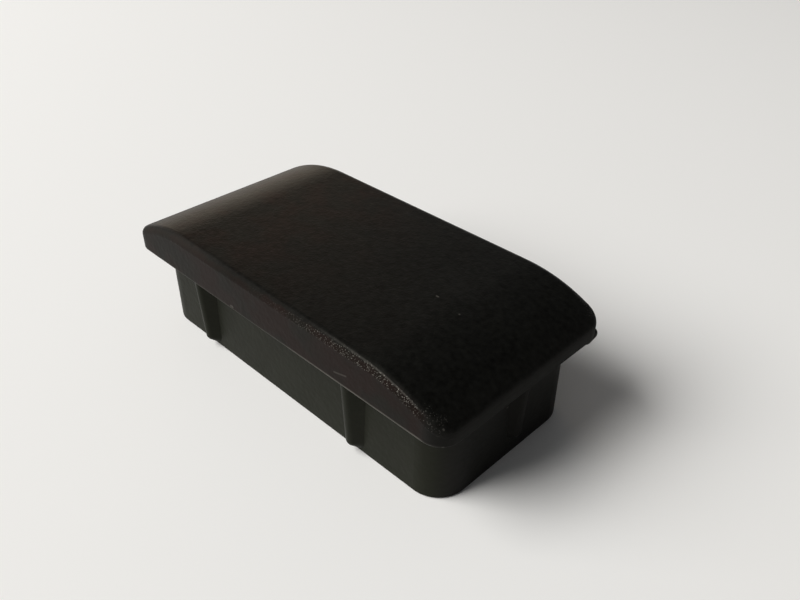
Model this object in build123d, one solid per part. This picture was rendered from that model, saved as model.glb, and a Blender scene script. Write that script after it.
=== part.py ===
from build123d import *
import os
from math import cos, radians, sqrt, tan

# End cap for a rectangular tube, moulded in one piece, in millimetres.
# The origin is the centre of the flange's underside, which lands on the tube's end.
# +X runs along the tube's wide side and +Z out of the tube, so the skirt hangs below z = 0.

# The tube that the cap closes
tube_length = 60.0              # outside, along X
tube_width = 30.0               # outside, along Y
tube_wall = 1.2

# Head: a flange flush with the tube's outside, under a crown that is arched along X
crown_height = 5.85             # flat middle of the crown, above the flange's underside
crown_flat = 35.8               # length of that flat middle
rim_height = 2.3                # where the arch meets the short ends
head_corner_radius = 2.8
crown_edge_radius = 1.2
flange_edge_radius = 0.25

# Gate stub: what is left where the moulding was broken off its runner, under the flange's edge
# and across its +X +Y corner, as a thread with two rounded ends
stub_radius = 0.75
stub_drop = 0.6                 # below the flange's underside
stub_turns = (0.0, 40.0)        # each end's place round the corner, in degrees from +X
stub_reaches = (0.0, 0.4)       # each end's reach past the corner's side

# Skirt: the hollow insert, clear of the tube's bore all round
end_clearance = 0.8             # at each short wall
side_clearance = 1.25           # at each long wall
skirt_depth = 12.0
skirt_corner_radius = 4.2
skirt_wall = 1.8
skirt_foot_radius = 0.3

# Hollow: open at the foot and cored up into the head, so that the crown keeps an even wall
crown_wall = 2.4
core_draft = 1.0                # degrees
core_roof_radius = 1.0

# Grip ribs: upright ridges on the skirt's four walls, which lean in towards a rounded lower end
rib_bite = 0.55                 # how far a crest reaches past the bore's wall, under the flange
rib_lean = 3.0                  # degrees, so that the cap starts easily and ends tight
rib_flank_angle = 47.0          # degrees, between a flank and the wall
rib_crest_radius = 1.0
rib_root_radius = 0.3
long_wall_ribs = (-16.25, 13.85)  # places along X, the same on both long walls
long_rib_foot = 1.9             # where a ridge gives way to its rounded end, above the skirt's foot
short_wall_ribs = (0.7,)        # places along Y, the same on both short walls
short_rib_foot = 3.8

skirt_length = tube_length - 2 * (tube_wall + end_clearance)
skirt_width = tube_width - 2 * (tube_wall + side_clearance)

crown_run = (tube_length - crown_flat) / 2
crown_fall = crown_height - rim_height
crown_radius = (crown_run**2 + crown_fall**2) / (2 * crown_fall)


def crown_side(inset, base):
    """Side view of the crown, moved in by an even inset and closed along a level base."""
    shoulder = crown_flat / 2
    top = crown_height - inset
    radius = crown_radius - inset
    reach = tube_length / 2 - inset
    drop = radius - sqrt(radius**2 - (reach - shoulder) ** 2)
    with BuildSketch(Plane.XZ) as side:
        with BuildLine():
            Line((-shoulder, top), (shoulder, top))
            TangentArc((shoulder, top), (reach, top - drop), tangent=(1, 0))
            Polyline((reach, top - drop), (reach, base), (-reach, base), (-reach, top - drop))
            TangentArc((-shoulder, top), (-reach, top - drop), tangent=(-1, 0))
        make_face()
    return side.sketch


def arched_block(plan, inset, base):
    """A plan outline's prism, cut off at the top by the crown moved in by an inset."""
    return plan & extrude(crown_side(inset, base), tube_width, both=True)


def roof_edges(block):
    """The outline of an arched block's roof: the edges that only one of its roof faces has."""
    steepest_roof = 60.0
    roof_faces = [face for face in block.faces() if face.normal_at().Z > cos(radians(steepest_roof))]
    edges = [edge for face in roof_faces for edge in face.edges()]
    return [edge for edge in edges if sum(edge.is_same(other) for other in edges) == 1]


def make_head():
    """The flange and its crown as one solid, with a rounded top edge."""
    plan = extrude(RectangleRounded(tube_length, tube_width, head_corner_radius), crown_height)
    head = arched_block(plan, 0, 0)
    head = fillet(roof_edges(head), crown_edge_radius)
    return fillet(head.edges().group_by(Axis.Z)[0], flange_edge_radius)


def make_stub():
    """The gate stub, as a straight thread and the balls at its ends."""
    corner_x = tube_length / 2 - head_corner_radius
    corner_y = tube_width / 2 - head_corner_radius
    corner = Pos(corner_x, corner_y, stub_radius - stub_drop)
    ends = []
    for turn, reach in zip(stub_turns, stub_reaches):
        ends.append(corner * Rot(0, 0, turn) * Pos(head_corner_radius + reach - stub_radius, 0, 0))
    run = Line(ends[0].position, ends[1].position)
    thread = sweep((run ^ 0) * Circle(stub_radius), run)
    return thread + [end * Sphere(stub_radius) for end in ends]


def make_skirt():
    """The outside of the insert, before it is hollowed."""
    plan = RectangleRounded(skirt_length, skirt_width, skirt_corner_radius)
    skirt = extrude(plan, -skirt_depth)
    return fillet(skirt.edges().group_by(Axis.Z)[0], skirt_foot_radius)


def make_core():
    """The hollow inside the skirt, drafted for release and arched under the crown."""
    foot = Plane.XY.offset(-skirt_depth)
    corner_radius = skirt_corner_radius - skirt_wall
    outline = RectangleRounded(skirt_length - 2 * skirt_wall, skirt_width - 2 * skirt_wall, corner_radius)
    plan = extrude(foot * outline, skirt_depth + crown_height, taper=core_draft)
    core = arched_block(plan, crown_wall, -skirt_depth)
    return fillet(roof_edges(core), core_roof_radius)


def rib_section(height, level):
    """A rib's section at a level, with x along the wall, y out of it and its root let into the wall."""
    apex = height + rib_crest_radius * (1 / cos(radians(rib_flank_angle)) - 1)
    toe = apex / tan(radians(rib_flank_angle))
    spread = toe + 2 * rib_root_radius
    root = -skirt_wall / 2
    with BuildSketch(Plane.XY.offset(level)) as section:
        with BuildLine():
            Polyline(
                (-spread, root), (-spread, 0), (-toe, 0), (0, apex),
                (toe, 0), (spread, 0), (spread, root), close=True,
            )
        make_face()
        crest = section.vertices().sort_by(Axis.Y)[-1]
        toes = section.vertices().filter_by_position(Axis.Y, 0, 0).sort_by(Axis.X)[1:-1]
        fillet(crest, rib_crest_radius)
        fillet(toes, rib_root_radius)
    return section.sketch


def make_rib(clearance, foot_height):
    """One rib on a wall at y = 0: a leaning ridge down to a rounded end above the skirt's foot."""
    end_level = foot_height - skirt_depth
    height = clearance + rib_bite
    end_section = rib_section(height + end_level * tan(radians(rib_lean)), end_level)
    ridge = loft([end_section, rib_section(height, 0)], ruled=True)
    half_section = split(end_section, bisect_by=Plane.YZ)
    rounded_end = revolve(half_section, Axis((0, 0, end_level), (0, 1, 0)), 180)
    return split(ridge + rounded_end, bisect_by=Plane.XY.offset(skirt_foot_radius - skirt_depth))


def place_ribs():
    """All the ribs, turned so that each crest faces out of its wall."""
    long_wall_rib = make_rib(side_clearance, long_rib_foot)
    short_wall_rib = make_rib(end_clearance, short_rib_foot)
    ribs = []
    for side in (1, -1):
        for x in long_wall_ribs:
            ribs.append(Pos(x, side * skirt_width / 2, 0) * Rot(0, 0, 90 - 90 * side) * long_wall_rib)
        for y in short_wall_ribs:
            ribs.append(Pos(side * skirt_length / 2, y, 0) * Rot(0, 0, -90 * side) * short_wall_rib)
    return ribs


def make_cap():
    """The whole moulding."""
    return make_head() + make_stub() + make_skirt() + place_ribs() - make_core()


os.makedirs("parts", exist_ok=True)
export_step(make_cap(), "parts/end_cap.step")
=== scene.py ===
"""Dress the moulded end cap of a rectangular tube, and set a plain studio round it.

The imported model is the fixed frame, in metres: +Z points out of the tube, +X runs along the
tube's wide side, and the origin is the centre of the flange's underside. The cap is a single
moulding, so its solid stays as packed and only takes a new finish. The finish works in
millimetres of that frame, so that its zones and marks keep their places on the solid.
"""

import logging
import math
from collections.abc import Mapping
from dataclasses import dataclass, field

import bpy
from mathutils import Matrix, Vector


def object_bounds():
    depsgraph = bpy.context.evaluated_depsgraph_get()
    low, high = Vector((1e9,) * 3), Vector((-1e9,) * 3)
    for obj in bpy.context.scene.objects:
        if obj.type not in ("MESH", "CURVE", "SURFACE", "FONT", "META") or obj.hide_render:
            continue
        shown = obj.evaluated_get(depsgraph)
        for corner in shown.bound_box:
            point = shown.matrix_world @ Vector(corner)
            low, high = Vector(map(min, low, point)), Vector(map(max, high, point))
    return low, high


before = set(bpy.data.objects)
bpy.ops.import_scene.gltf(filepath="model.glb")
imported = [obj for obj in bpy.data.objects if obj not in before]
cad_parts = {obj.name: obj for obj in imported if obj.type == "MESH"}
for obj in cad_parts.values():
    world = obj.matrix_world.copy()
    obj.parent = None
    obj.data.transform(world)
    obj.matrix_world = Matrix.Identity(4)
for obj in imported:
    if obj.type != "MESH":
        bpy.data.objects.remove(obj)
CAD_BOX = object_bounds()

LOG = logging.getLogger("end_cap")
MILLIMETRES = 1000.0  # millimetres in a metre

Colour = tuple[float, float, float]
Point = tuple[float, float, float]
Range = tuple[float, float]  # where an eased step starts, and where it has come to 1


class Signal:
    """One output socket of a node tree, with the operators that add Math nodes to it."""

    def __init__(self, graph: "Graph", socket: bpy.types.NodeSocket) -> None:
        """Remember the graph that the socket belongs to."""
        self.graph = graph
        self.socket = socket

    def _math(
        self, operation: str, first: "Signal | float", second: "Signal | float" = 0.0, clamp: bool = False
    ) -> "Signal":
        """Add one Math node that works on one or two values."""
        settings = {"operation": operation, "use_clamp": clamp}
        return self.graph.node("ShaderNodeMath", settings, {0: first, 1: second})

    def __add__(self, other: "Signal | float") -> "Signal":
        """Return self + other."""
        return self._math("ADD", self, other)

    def __sub__(self, other: "Signal | float") -> "Signal":
        """Return self - other."""
        return self._math("SUBTRACT", self, other)

    def __rsub__(self, other: float) -> "Signal":
        """Return other - self."""
        return self._math("SUBTRACT", other, self)

    def __mul__(self, other: "Signal | float") -> "Signal":
        """Return self * other."""
        return self._math("MULTIPLY", self, other)

    def __truediv__(self, other: "Signal | float") -> "Signal":
        """Return self / other."""
        return self._math("DIVIDE", self, other)

    def __pow__(self, other: float) -> "Signal":
        """Return self ** other."""
        return self._math("POWER", self, other)

    def __abs__(self) -> "Signal":
        """Return the size of self without its sign."""
        return self._math("ABSOLUTE", self)

    __radd__ = __add__
    __rmul__ = __mul__

    def at_least(self, low: "Signal | float") -> "Signal":
        """Return self, or low where that is more."""
        return self._math("MAXIMUM", self, low)

    def held(self) -> "Signal":
        """Return self, held between 0 and 1."""
        return self._math("ADD", self, 0.0, clamp=True)

    def lifted(self, least: float) -> "Signal":
        """Return self, squeezed from between 0 and 1 to between least and 1."""
        return self * (1.0 - least) + least

    def rise(self, start: float, end: float) -> "Signal":
        """Ease from 0 to 1 as self goes from start to end.

        Args:
            start: Where the result is still 0.
            end: Where the result has come to 1. It may lie below start.

        Returns:
            The eased step.
        """
        if start > end:
            return 1.0 - self.rise(end, start)
        settings = {"interpolation_type": "SMOOTHSTEP"}
        return self.graph.node(
            "ShaderNodeMapRange", settings, {"Value": self, "From Min": start, "From Max": end}
        )


class Graph:
    """A node tree, with the one method that adds every kind of node to it."""

    def __init__(self, tree: bpy.types.NodeTree) -> None:
        """Empty the tree, so that only what is added here is in it."""
        self.tree = tree
        self.tree.nodes.clear()

    def node(
        self,
        kind: str,
        settings: Mapping[str, object] | None = None,
        inputs: Mapping[str | int, object] | None = None,
        output: str | int = 0,
    ) -> Signal:
        """Add a node, set it up, feed its sockets and hand back one of its outputs.

        Args:
            kind: The node's type, such as "ShaderNodeMath".
            settings: The node's own properties, which are set first.
            inputs: A value or a Signal for each socket that isn't left at its default.
            output: The name or number of the output that is handed back.

        Returns:
            The chosen output, ready for more arithmetic.
        """
        made = self.tree.nodes.new(kind)
        for name, value in (settings or {}).items():
            setattr(made, name, value)
        for name, value in (inputs or {}).items():
            if isinstance(value, Signal):
                self.tree.links.new(value.socket, made.inputs[name])
            else:
                made.inputs[name].default_value = value
        return Signal(self, made.outputs[output] if made.outputs else None)

    def vector(
        self, operation: str, first: Signal | Point, second: Signal | Point = (0.0, 0.0, 0.0)
    ) -> Signal:
        """Add one Vector Math node on two vectors, and hand back its vector."""
        return self.node("ShaderNodeVectorMath", {"operation": operation}, {0: first, 1: second})

    def measure(
        self, operation: str, first: Signal | Point, second: Signal | Point = (0.0, 0.0, 0.0)
    ) -> Signal:
        """Add one Vector Math node that comes to a single number, such as a length."""
        settings = {"operation": operation}
        return self.node("ShaderNodeVectorMath", settings, {0: first, 1: second}, "Value")

    def scaled(self, vector: Signal | Point, factor: Signal | float) -> Signal:
        """Return a vector times a number."""
        return self.node("ShaderNodeVectorMath", {"operation": "SCALE"}, {0: vector, "Scale": factor})

    def split(self, vector: Signal) -> tuple[Signal, Signal, Signal]:
        """Return a vector's three parts."""
        first = self.node("ShaderNodeSeparateXYZ", {}, {0: vector})
        return tuple(Signal(self, socket) for socket in first.socket.node.outputs)

    def blend(self, factor: Signal, first: Signal | Colour, second: Signal | Colour) -> Signal:
        """Mix two colours.

        Args:
            factor: 0 for the first colour and 1 for the second.
            first: The colour where the factor is 0.
            second: The colour where the factor is 1.

        Returns:
            The mixed colour.
        """
        ends = [c if isinstance(c, Signal) else (*c, 1.0) for c in (first, second)]
        factor_socket, first_socket, second_socket, result_socket = 0, 6, 7, 2
        return self.node(
            "ShaderNodeMix",
            {"data_type": "RGBA"},
            {factor_socket: factor, first_socket: ends[0], second_socket: ends[1]},
            result_socket,
        )

    def noise(self, place: Signal, size: float, detail: float = 0.0) -> Signal:
        """Make soft noise.

        Args:
            place: Where the noise is read.
            size: The size of its lumps, in the place's own units.
            detail: How many finer layers lie on those lumps.

        Returns:
            The noise, from 0 to 1.
        """
        inputs = {"Vector": place, "Scale": 1.0 / size, "Detail": detail}
        return self.node("ShaderNodeTexNoise", {"noise_dimensions": "3D"}, inputs)

    def ripple(self, place: Signal, size: float, detail: float = 0.0) -> Signal:
        """Return the same noise about 0, from -0.5 to 0.5."""
        return self.noise(place, size, detail) - 0.5


@dataclass(frozen=True)
class CapShape:
    """The moulding's own sizes, in millimetres, by which the finish finds its places."""

    half_length: float = CAD_BOX[1].x * MILLIMETRES
    half_width: float = CAD_BOX[1].y * MILLIMETRES
    crown_top: float = CAD_BOX[1].z * MILLIMETRES
    crown_flat: float = 35.8
    rim_height: float = 2.3
    corner_radius: float = 2.8

    @property
    def crown_radius(self) -> float:
        """Radius of the arcs in which the crown falls to its rims."""
        run = self.half_length - self.crown_flat / 2
        fall = self.crown_top - self.rim_height
        return (run**2 + fall**2) / (2 * fall)

    def below_crown(self, x: Signal, z: Signal) -> Signal:
        """Work out how deep a place lies below the crown's surface.

        Args:
            x: The place along the tube's wide side.
            z: Its height over the flange's underside.

        Returns:
            The depth, square to the surface, and 0 all over the crown itself.
        """
        along = (abs(x) - self.crown_flat / 2).at_least(0.0)
        up = z - (self.crown_top - self.crown_radius)
        return self.crown_radius - (along * along + up * up) ** 0.5

    def inside_outline(self, x: Signal, y: Signal) -> Signal:
        """Work out how far a place lies inside the flange's outline.

        Args:
            x: The place along the tube's wide side.
            y: The place along its narrow side.

        Returns:
            The distance in from the outline, right up to one corner radius.
        """
        along = (abs(x) - (self.half_length - self.corner_radius)).at_least(0.0)
        across = (abs(y) - (self.half_width - self.corner_radius)).at_least(0.0)
        return self.corner_radius - (along * along + across * across) ** 0.5


@dataclass(frozen=True)
class Mark:
    """A speck, nick or scratch, or a painted glint: one short stroke, in millimetres."""

    start: Point
    end: Point
    radius: float
    paleness: float
    rise: float = 0.0  # how far it stands out of the surface, or is cut in where negative
    core: float = 0.4  # the share of the radius that is covered in full

    def cover(self, graph: Graph, place: Signal) -> Signal:
        """Mask the stroke, with soft edges.

        Args:
            graph: The finish's node tree.
            place: The place on the solid.

        Returns:
            1 along the stroke and 0 away from it.
        """
        run = tuple(b - a for a, b in zip(self.start, self.end))
        length_squared = sum(part * part for part in run)
        from_start = graph.vector("SUBTRACT", place, self.start)
        share = (graph.measure("DOT_PRODUCT", from_start, run) / length_squared).held()
        off = graph.vector("SUBTRACT", from_start, graph.scaled(run, share))
        return graph.measure("LENGTH", off).rise(self.radius, self.core * self.radius)


@dataclass(frozen=True)
class EdgeWearAndSparkle:
    """Rubbed grain along the long sides of the crown's rounded edge, with painted highlights, sparkle and
    sheen, in millimetres.

    A pale ridge runs over a stippled band, and both grow towards the tube's +X side. They are partly
    rubbed wear, partly a painted highlight along the edge and painted sparkle on the grain's tops. At the
    other end the band is rubbed smoother, and a painted sheen lies on it where the rounded edge faces the
    light.
    """

    long_side: Range = (12.4, 13.2)  # along Y, where a long side begins
    band_inset: Range = (1.7, 1.2)  # in from the flange's outline
    ridge_depth: float = 0.17  # depth below the crown
    ridge_drop: float = 0.15  # how much deeper the ridge runs at the end that is rubbed most
    ridge_drops: Range = (12.0, 26.0)  # along X
    ridge_spread: Range = (0.1, 0.02)
    ridge_grows: Range = (7.0, 22.0)  # along X
    ridge_ends: Range = (27.6, 24.4)  # along X
    # The ridge's paleness is partly rubbed wear, partly a painted highlight along the edge.
    ridge_highlight_paleness: float = 0.24
    ridge_ground: float = 0.45  # the ridge's paleness between its flecks
    ridge_flecks: float = 2.2  # how much its flecks add to that
    corner: Range = (26.0, 27.5)  # along X, where the stipple turns round the flange's corner
    corner_loss: float = 0.65  # how much fainter the stipple is there
    stipple_top: Range = (0.2, 0.35)  # depth below the crown
    stipple_foot: Range = (1.2, 1.0)  # depth below the crown
    stipple_grows: Range = (-8.0, 26.0)  # along X
    stipple_ends: Range = (29.5, 28.6)  # along X
    # The stipple's paleness is partly rubbed wear, partly painted sparkle on the grain's tops.
    stipple_sparkle_paleness: float = 0.8
    fleck_size: float = 0.1
    fleck_edge: Range = (0.65, 0.2)  # of the distance from a fleck's middle, in cells
    fleck_chance: Range = (0.74, 1.0)  # which cells hold a fleck, and how bright it is
    sheen_top: Range = (0.0, 0.05)  # depth below the crown of the band that is rubbed smoother and carries the painted sheen
    sheen_foot: Range = (1.5, 0.2)  # depth below the crown
    sheen_grows: Range = (-4.0, -18.0)  # along X
    # A painted sheen on the rounded edge towards the -X end, where it faces the light.
    sheen_paleness: float = 0.03

    def cover(self, graph: Graph, place: Signal, depth: Signal, inset: Signal) -> tuple[Signal, Signal]:
        """Mask the rubbed grain, with its painted highlights, sparkle and sheen.

        Args:
            graph: The finish's node tree.
            place: The place on the solid.
            depth: The depth below the crown.
            inset: The distance in from the flange's outline.

        Returns:
            How pale the painted highlight, sparkle and sheen on the rubbed grain are, and where the grain
            stands out more, both from 0 to 1.
        """
        x, y, _ = graph.split(place)
        band = inset.rise(*self.band_inset) * abs(y).rise(*self.long_side)
        ridge_line = x.rise(*self.ridge_drops) * self.ridge_drop + self.ridge_depth
        ridge = abs(depth - ridge_line).rise(*self.ridge_spread)
        ridge_growth = x.rise(*self.ridge_grows) * x.rise(*self.ridge_ends)
        corner = x.rise(*self.corner)
        stipple = (depth.rise(*self.stipple_top) + corner).held() * depth.rise(*self.stipple_foot)
        stipple_growth = x.rise(*self.stipple_grows) * (1.0 - corner * self.corner_loss)
        stipple_growth = stipple_growth * x.rise(*self.stipple_ends)
        flecks = self._flecks(graph, place)
        ridge_flecks = flecks * self.ridge_flecks + self.ridge_ground
        # Painted highlight and sparkle on the ridge and stipple, and painted sheen towards the -X end, all
        # laid on as paleness.
        pale = ridge * ridge_growth * ridge_flecks * self.ridge_highlight_paleness
        pale = pale + stipple * stipple_growth * flecks * self.stipple_sparkle_paleness
        rubbed_sheen = depth.rise(*self.sheen_top) * depth.rise(*self.sheen_foot)
        pale = pale + rubbed_sheen * x.rise(*self.sheen_grows) * self.sheen_paleness
        return pale * band, stipple * band

    def _flecks(self, graph: Graph, place: Signal) -> Signal:
        """Return scattered grain tops, each with a painted sparkle of a brightness of its own."""
        cells = graph.node(
            "ShaderNodeTexVoronoi", {"feature": "F1"}, {"Vector": place, "Scale": 1.0 / self.fleck_size}
        )
        chance = graph.split(Signal(graph, cells.socket.node.outputs["Color"]))[0]
        return cells.rise(*self.fleck_edge) * chance.rise(*self.fleck_chance)


@dataclass(frozen=True)
class FlangeBurrAndHighlight:
    """The thin burr that the mould's parting line leaves along the flange's lower edge, with a painted
    highlight where the edge reflects the floor, in millimetres.
    """

    level: float = 0.12  # height over the flange's underside
    spread: Range = (0.38, 0.02)
    edge_inset: Range = (0.35, 0.2)  # in from the flange's outline
    long_side: Range = (13.6, 14.8)  # along Y, where a long side begins
    end_share: float = 0.08  # what is left of the burr along the short ends
    grows: Range = (-2.0, 14.0)  # along X
    corner: Range = (27.6, 26.4)  # along X, past which it thins out again
    least: float = 0.2  # its share where it is thin
    patch_size: float = 5.0
    patch_range: Range = (0.1, 0.7)
    patch_least: float = 0.4
    # Partly the burr's own paleness, partly a painted highlight where the edge reflects the floor.
    paleness: float = 0.33

    def cover(self, graph: Graph, place: Signal, inset: Signal) -> Signal:
        """Mask the burr and its painted highlight.

        Args:
            graph: The finish's node tree.
            place: The place on the solid.
            inset: The distance in from the flange's outline.

        Returns:
            How pale the burr and its painted highlight are, from 0 to 1.
        """
        x, y, z = graph.split(place)
        line = abs(z - self.level).rise(*self.spread) * inset.rise(*self.edge_inset)
        long_side = abs(y).rise(*self.long_side).lifted(self.end_share)
        growth = x.rise(*self.grows).lifted(self.least) * x.rise(*self.corner).lifted(self.least)
        patches = graph.noise(place, self.patch_size, detail=2.0).rise(*self.patch_range)
        return line * long_side * growth * patches.lifted(self.patch_least) * self.paleness


@dataclass(frozen=True)
class MouldedPlastic:
    """Black polyethylene as it leaves the mould: a grained crown over satin sides, in millimetres."""

    shape: CapShape = CapShape()
    wear_and_sparkle: EdgeWearAndSparkle = EdgeWearAndSparkle()
    burr_and_highlight: FlangeBurrAndHighlight = FlangeBurrAndHighlight()
    marks: tuple[Mark, ...] = (
        Mark((-6.9, -15.0, 0.45), (-6.5, -15.0, 0.5), 0.25, 0.1, -0.03),
        Mark((13.3, -15.0, 1.43), (15.32, -15.0, 1.96), 0.16, 0.08, -0.01),
        Mark((15.5, -0.24, 5.85), (15.75, -0.24, 5.85), 0.14, 0.2, 0.03),
        Mark((19.8, -1.04, 5.76), (19.85, -1.04, 5.76), 0.14, 0.15, 0.03),
        Mark((28.0, -1.25, -3.43), (28.0, -1.05, -3.43), 0.14, 0.1, 0.02),
        Mark((29.14, -13.93, 2.56), (29.2, -13.9, 2.5), 0.15, 0.12, 0.03),
        # This speck is a painted glint at the corner of the flange's lower edge.
        Mark((29.26, -14.07, 0.16), (29.3, -14.0, 0.16), 0.15, 0.12, 0.02),
    )
    crown_colour: Colour = (0.0046, 0.0047, 0.0042)
    crown_warm_colour: Colour = (0.0074, 0.0041, 0.0035)
    side_colour: Colour = (0.0078, 0.0038, 0.0031)
    side_cool_colour: Colour = (0.0054, 0.0047, 0.0036)
    # The ends' darker, neutral colour paints the shade that the skirt's end walls lie in.
    shaded_end_colour: Colour = (0.0068, 0.0068, 0.0061)
    skirt_colour: Colour = (0.0106, 0.0115, 0.0076)
    # The colour of the specks, wear and burr, and of the painted highlights, sparkle, sheen and glint laid
    # on with them.
    pale_colour: Colour = (0.30, 0.29, 0.26)
    flange_from: Range = (-0.1, 0.0)  # the height at which the skirt gives way to the flange
    end_from: Range = (26.0, 28.0)  # along X, where the sides give way to the ends
    patch_size: float = 5.0  # of the warm and cool patches
    cool_patches: Range = (0.6, 0.35)
    warm_patches: Range = (0.4, 0.65)
    warm_sheen_grows: Range = (12.0, -20.0)  # along X, over the crown: the warm patches grow towards the -X end, where they paint the warm tint of the sheen
    cloud_size: float = 7.0
    cloud_shade: float = 0.6  # how far the clouds lighten and darken every colour
    speckle_size: float = 0.7
    speckle_shade: float = 2.2  # how far the speckle lightens and darkens the crown
    roughness: float = 0.45
    haze_size: float = 3.0
    haze_roughness: float = 0.08  # how far the roughness wanders
    grain_roughness: float = -0.02  # how much rougher the grained crown is
    dull_roughness: float = 0.24  # how much rougher the finish is where it is dullest
    dull_top: Range = (0.02, 0.2)  # depth below the crown
    dull_foot: Range = (1.2, 0.48)  # depth below the crown
    dull_inset: Range = (1.6, 1.2)  # in from the flange's outline
    dull_ends: Range = (27.0, 29.3)  # along X
    end_dullness: float = 0.8
    specular: float = 0.075
    specular_tint: Colour = (1.0, 0.95, 0.86)
    grain_foot: Range = (0.42, 0.18)  # depth below the crown, where its grain gives out
    wander: float = 0.3  # how far that limit wanders
    wander_size: float = 1.2
    grain_size: float = 0.26
    grain_height: float = 0.027
    worn_grain: float = 1.2  # how much higher the grain stands where it is rubbed
    mottle_size: float = 0.8
    mottle_height: float = 0.03

    def build(self, name: str) -> bpy.types.Material:
        """Make the finish as a material.

        Args:
            name: The material's name.

        Returns:
            The new material.
        """
        material = bpy.data.materials.new(name)
        material.use_nodes = True
        graph = Graph(material.node_tree)
        place = graph.scaled(graph.node("ShaderNodeTexCoord", output="Object"), MILLIMETRES)
        x, y, z = graph.split(place)
        depth = self.shape.below_crown(x, z)
        inset = self.shape.inside_outline(x, y)
        grained = self._grained(graph, place, depth)
        marks, marks_height = self._marked(graph, place)
        # The rubbed edge and the burr carry painted highlights, sparkle and sheen as well as wear.
        rubbed_sparkle_and_sheen, coarse = self.wear_and_sparkle.cover(graph, place, depth, inset)
        pale = (marks + rubbed_sparkle_and_sheen + self.burr_and_highlight.cover(graph, place, inset)).held()
        shader = graph.node(
            "ShaderNodeBsdfPrincipled",
            {},
            {
                "Base Color": self._colour(graph, place, grained, pale),
                "Roughness": self._roughness(graph, place, grained, self._dulled(x, depth, inset)),
                "Specular IOR Level": self.specular,
                "Specular Tint": (*self.specular_tint, 1.0),
                "Normal": self._relief(graph, place, grained, coarse, marks_height),
            },
        )
        graph.node("ShaderNodeOutputMaterial", {}, {"Surface": shader})
        return material

    def _grained(self, graph: Graph, place: Signal, depth: Signal) -> Signal:
        """Mask the grained crown, whose lower limit wanders a little along the rounded edge."""
        return (depth + graph.ripple(place, self.wander_size) * self.wander).rise(*self.grain_foot)

    def _dulled(self, x: Signal, depth: Signal, inset: Signal) -> Signal:
        """Mask the crown's rounded edge and the head's two ends, where the finish is dullest."""
        rounded = depth.rise(*self.dull_top) * depth.rise(*self.dull_foot) * inset.rise(*self.dull_inset)
        return (rounded + abs(x).rise(*self.dull_ends) * self.end_dullness).held()

    def _marked(self, graph: Graph, place: Signal) -> tuple[Signal | float, Signal | float]:
        """Add up the marks, as how pale they are and how far they stand out."""
        pale = 0.0
        height = 0.0
        for mark in self.marks:
            cover = mark.cover(graph, place)
            pale = cover * mark.paleness + pale
            height = cover * mark.rise + height
        return pale, height

    def _colour(self, graph: Graph, place: Signal, grained: Signal, pale: Signal) -> Signal:
        """Mix the colours of the skirt, the head's sides and ends, the crown and the pale marks, with
        painted shade on the ends, a painted warm sheen towards the -X end, and painted highlights,
        sparkle, sheen and glint among the pale marks.
        """
        x, _, z = graph.split(place)
        patches = graph.noise(place, self.patch_size, detail=2.0)
        cool = patches.rise(*self.cool_patches)
        flange = graph.blend(cool, self.side_colour, self.side_cool_colour)
        walls = graph.blend(z.rise(*self.flange_from), self.skirt_colour, flange)
        # Painted shade: the ends take a darker colour than the skirt's long walls.
        walls = graph.blend(abs(x).rise(*self.end_from), walls, self.shaded_end_colour)
        # Random warm patches, grown towards the -X end as a painted warm sheen.
        warm = patches.rise(*self.warm_patches) * x.rise(*self.warm_sheen_grows)
        crown = graph.blend(warm, self.crown_colour, self.crown_warm_colour)
        body = graph.blend(grained, walls, crown)
        clouds = graph.ripple(place, self.cloud_size, detail=4.0) * self.cloud_shade
        speckle = graph.ripple(place, self.speckle_size, detail=2.0) * grained * self.speckle_shade
        shaded = graph.scaled(body, clouds + speckle + 1.0)
        return graph.blend(pale, shaded, self.pale_colour)

    def _roughness(self, graph: Graph, place: Signal, grained: Signal, dulled: Signal) -> Signal:
        """Return the roughness, which clouds gently and is more where the finish is dull."""
        haze = graph.ripple(place, self.haze_size, detail=2.0) * self.haze_roughness
        return grained * self.grain_roughness + dulled * self.dull_roughness + haze + self.roughness

    def _relief(
        self, graph: Graph, place: Signal, grained: Signal, coarse: Signal, marks_height: Signal | float
    ) -> Signal:
        """Bend the surface's normal.

        Args:
            graph: The finish's node tree.
            place: The place on the solid.
            grained: Where the crown is grained.
            coarse: Where the grain stands out more, because it is rubbed.
            marks_height: How far the marks stand out, in millimetres.

        Returns:
            The normal that the grain, the faint mottle and the marks bend.
        """
        grain = graph.noise(place, self.grain_size, detail=1.0) * self.grain_height
        grain = grain * (grained + coarse * self.worn_grain)
        mottle = graph.noise(place, self.mottle_size, detail=1.0) * self.mottle_height
        height = grain + mottle + marks_height
        return graph.node("ShaderNodeBump", {}, {"Distance": 1.0 / MILLIMETRES, "Height": height})


@dataclass
class EndCap:
    """The moulding itself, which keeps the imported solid."""

    node_name: str = "end_cap"
    slot: str = "black_plastic"
    finish: MouldedPlastic = field(default_factory=MouldedPlastic)

    def dress(self) -> None:
        """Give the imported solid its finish."""
        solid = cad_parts[self.node_name]
        solid.material_slots[0].material = self.finish.build(self.slot)
        LOG.info("%s: %d faces", solid.name, len(solid.data.polygons))


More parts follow.
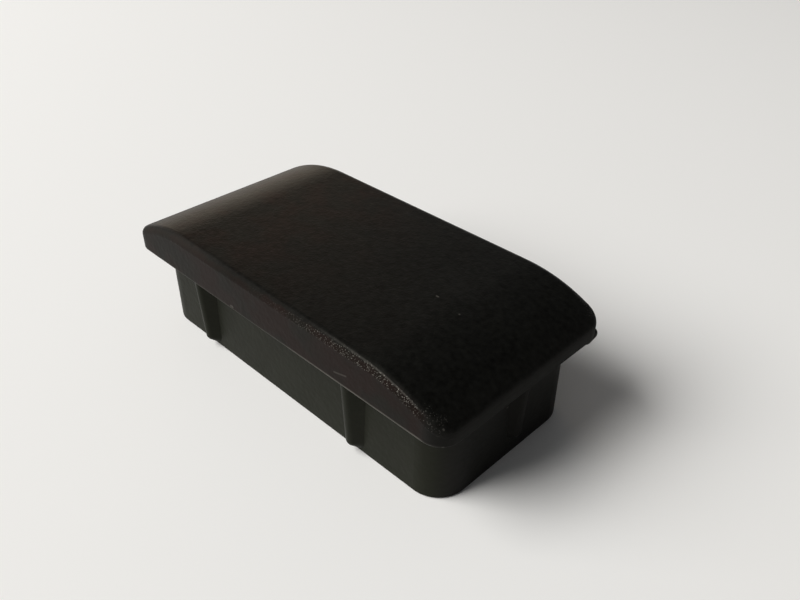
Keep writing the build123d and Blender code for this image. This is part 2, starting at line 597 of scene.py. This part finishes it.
@dataclass(frozen=True)
class Softbox:
    """A square lamp that hangs on a sphere round the object and faces its middle."""

    name: str
    heading: float  # degrees from +X towards +Y
    height: float  # degrees above the floor
    power: float  # watts
    side: float = 0.8  # metres
    distance: float = 1.6  # metres
    colour: Colour = (1.0, 1.0, 1.0)

    def hang(self, centre: Vector) -> bpy.types.Object:
        """Add the lamp.

        Args:
            centre: The point that the lamp faces.

        Returns:
            The lamp's object.
        """
        heading, height = math.radians(self.heading), math.radians(self.height)
        away = Vector(
            (
                math.cos(heading) * math.cos(height),
                math.sin(heading) * math.cos(height),
                math.sin(height),
            )
        )
        data = bpy.data.lights.new(self.name, "AREA")
        data.shape = "SQUARE"
        data.size = self.side
        data.energy = self.power
        data.color = self.colour
        lamp = bpy.data.objects.new(self.name, data)
        lamp.matrix_world = Matrix.Translation(centre + away * self.distance) @ (
            away.to_track_quat("Z", "Y").to_matrix().to_4x4()
        )
        bpy.context.scene.collection.objects.link(lamp)
        return lamp


@dataclass(frozen=True)
class Surroundings:
    """A white backdrop all round, which darkens towards the ceiling and away from the window."""

    white_below: float = 0.0  # degrees above the floor's horizon
    dark_above: float = 22.0
    horizon: float = 0.92  # strength below white_below
    ceiling: float = 0.11  # strength above dark_above
    shaded_side: Point = (0.94, 0.34, 0.0)  # where the backdrop is turned away from the window
    shade_from: Range = (0.0, 0.9)  # how far a view points that way
    shade: float = 0.6

    def hang(self) -> bpy.types.World:
        """Make the surroundings the scene's world.

        Returns:
            The new world.
        """
        world = bpy.data.worlds.new("surroundings")
        world.use_nodes = True
        graph = Graph(world.node_tree)
        view = graph.node("ShaderNodeTexCoord", output="Generated")
        height = graph.split(view)[2]
        low, high = (math.sin(math.radians(a)) for a in (self.white_below, self.dark_above))
        strength = height.rise(high, low) * (self.horizon - self.ceiling) + self.ceiling
        shaded = graph.measure("DOT_PRODUCT", view, self.shaded_side).rise(*self.shade_from)
        strength = strength * (1.0 - shaded * self.shade)
        air = graph.node("ShaderNodeBackground", {}, {"Color": (1, 1, 1, 1), "Strength": strength})
        graph.node("ShaderNodeOutputWorld", {}, {"Surface": air})
        bpy.context.scene.world = world
        return world


@dataclass
class Studio:
    """The floor, the lamps and the surroundings."""

    floor_side: float = 1.4  # metres
    floor_colour: Colour = (0.9, 0.9, 0.9)
    fade: Range = (0.35, 0.65)  # metres from the cap, over which the floor passes into the backdrop
    surroundings: Surroundings = Surroundings()
    lamps: tuple[Softbox, ...] = (
        Softbox("window", 233.0, 40.0, 36.0, side=1.2, colour=(1.0, 0.985, 0.95)),
        Softbox("back_strip", 150.0, 6.0, 2.2, side=0.8, colour=(1.0, 0.76, 0.48)),
    )

    def lay_floor(self) -> bpy.types.Object:
        """Put the floor under the cap's foot, with an outside that fades into the backdrop.

        Returns:
            The floor.
        """
        low = CAD_BOX[0].z
        half = self.floor_side / 2
        mesh = bpy.data.meshes.new("floor")
        corners = [(-half, -half, low), (half, -half, low), (half, half, low), (-half, half, low)]
        mesh.from_pydata(corners, [], [(0, 1, 2, 3)])
        floor = bpy.data.objects.new("floor", mesh)
        bpy.context.scene.collection.objects.link(floor)
        material = bpy.data.materials.new("floor_paper")
        material.use_nodes = True
        graph = Graph(material.node_tree)
        place = graph.node("ShaderNodeTexCoord", output="Object")
        faded = graph.measure("LENGTH", place).rise(*self.fade)
        paper = graph.node("ShaderNodeBsdfDiffuse", {}, {"Color": (*self.floor_colour, 1.0)})
        backdrop = graph.node("ShaderNodeBsdfTransparent")
        surface = graph.node("ShaderNodeMixShader", {}, {0: faded, 1: paper, 2: backdrop})
        graph.node("ShaderNodeOutputMaterial", {}, {"Surface": surface})
        mesh.materials.append(material)
        return floor

    def light(self) -> None:
        """Hang the lamps and the surroundings."""
        centre = (CAD_BOX[0] + CAD_BOX[1]) / 2
        for lamp in self.lamps:
            lamp.hang(centre)
            LOG.info("%s: %.1f W", lamp.name, lamp.power)
        self.surroundings.hang()


@dataclass(frozen=True)
class ViewCamera:
    """The camera's place, and how it is turned and tilted from there."""

    place: Point = (0.067424, -0.059601, 0.060240)
    heading: float = 134.390  # degrees from +X towards +Y
    dip: float = 34.940  # degrees below level
    roll: float = 0.550  # degrees
    lens: float = 35.829  # millimetres
    sensor: float = 36.0  # millimetres across
    nearest: float = 0.001  # metres, within which nothing is drawn

    def set_up(self) -> None:
        """Add the camera and make it the scene's own."""
        heading, dip, roll = (math.radians(a) for a in (self.heading, self.dip, self.roll))
        ahead = Vector(
            (
                math.cos(heading) * math.cos(dip),
                math.sin(heading) * math.cos(dip),
                -math.sin(dip),
            )
        )
        level = Vector((math.sin(heading), -math.cos(heading), 0.0))
        upright = level.cross(ahead)
        right = level * math.cos(roll) + upright * math.sin(roll)
        up = upright * math.cos(roll) - level * math.sin(roll)
        data = bpy.data.cameras.new("camera")
        data.lens = self.lens
        data.sensor_fit = "HORIZONTAL"
        data.sensor_width = self.sensor
        data.clip_start = self.nearest
        camera = bpy.data.objects.new("camera", data)
        camera.matrix_world = Matrix.Translation(self.place) @ (
            Matrix((right, up, -ahead)).transposed().to_4x4()
        )
        bpy.context.scene.collection.objects.link(camera)
        bpy.context.scene.camera = camera


def main() -> None:
    """Dress the cap and set up the studio round it."""
    logging.basicConfig(level=logging.INFO, format="%(name)s: %(message)s")
    bpy.context.scene.view_settings.view_transform = "Standard"
    EndCap().dress()
    studio = Studio()
    studio.lay_floor()
    studio.light()
    ViewCamera().set_up()


if __name__ == "__main__":
    main()
